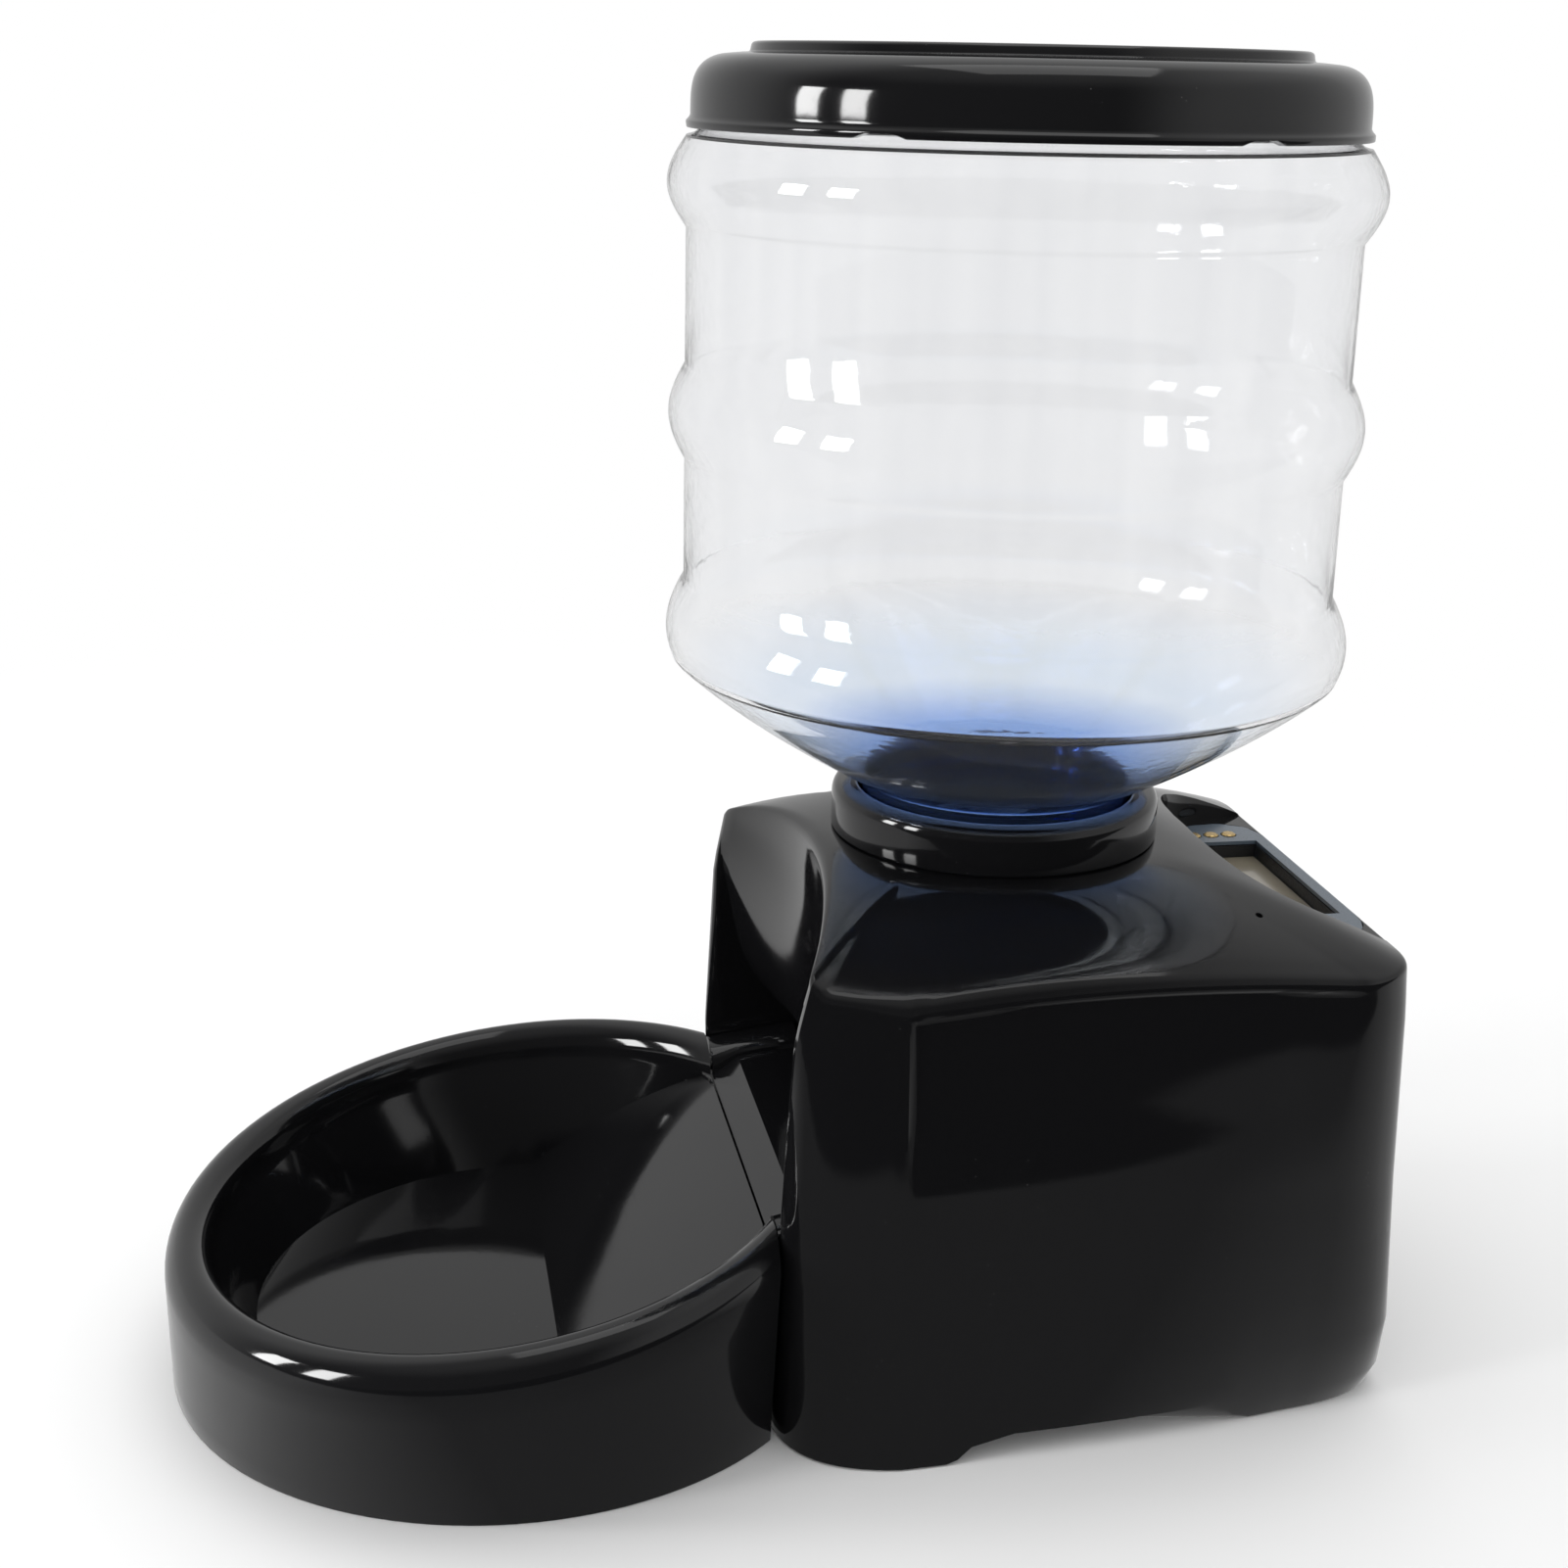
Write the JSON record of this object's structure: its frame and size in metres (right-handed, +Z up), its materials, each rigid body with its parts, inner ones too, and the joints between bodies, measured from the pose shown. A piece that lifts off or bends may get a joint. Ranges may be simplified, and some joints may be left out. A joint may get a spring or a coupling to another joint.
{
  "type": "automatic pet feeder",
  "caption": "Free-standing automatic pet feeder: clear hopper bottle over a motor-driven paddle-wheel base, with a control panel and a pull-off bowl.",
  "frame": {"origin": "middle of the footprint, on the surface that the feeder stands on", "axes": "+Z up, -Y towards the bowl, +Y towards the control panel, X across the width"},
  "size_m": [0.2254, 0.3678, 0.3932],
  "materials": {
    "gloss_black": "high-gloss black ABS",
    "clear_pet": "clear, faintly blue blown PET",
    "satin_black": "moulded black ABS, fine texture",
    "fascia_film": "blue-grey printed film",
    "lcd": "tan reflective LCD",
    "gold_key": "gold-tinted key caps",
    "circuit_board": "green solder mask",
    "white_nylon": "natural nylon",
    "steel": "plated steel",
    "rubber": "black rubber",
    "silicone": "translucent silicone",
    "cell_wrap": "plain printed cell sleeve"
  },
  "bodies": {
    "base": {"base_housing": "gloss_black", "neck_collar": "gloss_black", "chute_spout": "gloss_black", "control_fascia": "fascia_film", "display_bezel": "satin_black", "display_screen": "lcd", "dispenser_housing": "satin_black", "bush_left": "white_nylon", "bush_right": "white_nylon", "motor_gearbox": "satin_black", "motor_can": "steel", "motor_bracket": "steel", "bracket_post_1": "steel", "bracket_post_2": "steel", "control_board": "circuit_board", "switch_1": "satin_black", "switch_2": "satin_black", "switch_3": "satin_black", "switch_4": "satin_black", "microphone": "steel", "speaker": "steel", "base_plate": "satin_black", "battery_tray": "satin_black", "cell_1": "cell_wrap", "cell_2": "cell_wrap", "cell_3": "cell_wrap", "contact_spring_1": "steel", "contact_spring_2": "steel", "contact_spring_3": "steel", "contact_plate_1": "steel", "contact_plate_2": "steel", "contact_plate_3": "steel", "foot_1": "rubber", "foot_2": "rubber", "foot_3": "rubber", "foot_4": "rubber", "screw_1": "steel", "screw_2": "steel", "screw_3": "steel", "screw_4": "steel"},
    "lid": {"lid_cap": "gloss_black", "lid_seal": "silicone"},
    "bottle": {"hopper_bottle": "clear_pet"},
    "feed_bowl": {"bowl": "gloss_black"},
    "rotor": {"paddle_wheel": "white_nylon", "rotor_shaft": "steel", "drive_gear": "white_nylon"},
    "pinion": {"motor_pinion": "white_nylon", "motor_shaft": "steel"},
    "door": {"battery_door": "satin_black"},
    "key_1": {"key_1": "gold_key"},
    "key_2": {"key_2": "gold_key"},
    "key_3": {"key_3": "gold_key"},
    "key_4": {"key_4": "gold_key"}
  },
  "joints": [
    {"name": "bottle_lift", "type": "slide", "parent": "base", "child": "bottle", "axis": [0, 0, 1], "range_m": [0, 0.06]},
    {"name": "lid_lift", "type": "slide", "parent": "bottle", "child": "lid", "axis": [0, 0, 1], "range_m": [0, 0.04]},
    {"name": "bowl_pull", "type": "slide", "parent": "base", "child": "feed_bowl", "axis": [0, -1, 0], "range_m": [0, 0.08]},
    {"name": "rotor_spin", "type": "hinge", "parent": "base", "child": "rotor", "pos_m": [0, 0.0694, 0.118], "axis": [1, 0, 0], "continuous": true},
    {"name": "pinion_spin", "type": "hinge", "parent": "base", "child": "pinion", "pos_m": [0, 0.10097, 0.10651], "axis": [1, 0, 0], "continuous": true},
    {"name": "door_slide", "type": "slide", "parent": "base", "child": "door", "axis": [0, -1, 0], "range_m": [0, 0.07]},
    {"name": "key_1_press", "type": "slide", "parent": "base", "child": "key_1", "axis": [0, 0, -1], "range_m": [0, 0.0008], "stiffness_N_per_m": 400},
    {"name": "key_2_press", "type": "slide", "parent": "base", "child": "key_2", "axis": [0, 0, -1], "range_m": [0, 0.0008], "stiffness_N_per_m": 400},
    {"name": "key_3_press", "type": "slide", "parent": "base", "child": "key_3", "axis": [0, 0, -1], "range_m": [0, 0.0008], "stiffness_N_per_m": 400},
    {"name": "key_4_press", "type": "slide", "parent": "base", "child": "key_4", "axis": [0, 0, -1], "range_m": [0, 0.0008], "stiffness_N_per_m": 400}
  ],
  "couplings": [
    {"joint": "pinion_spin", "follows": "rotor_spin", "ratio": -3}
  ]
}
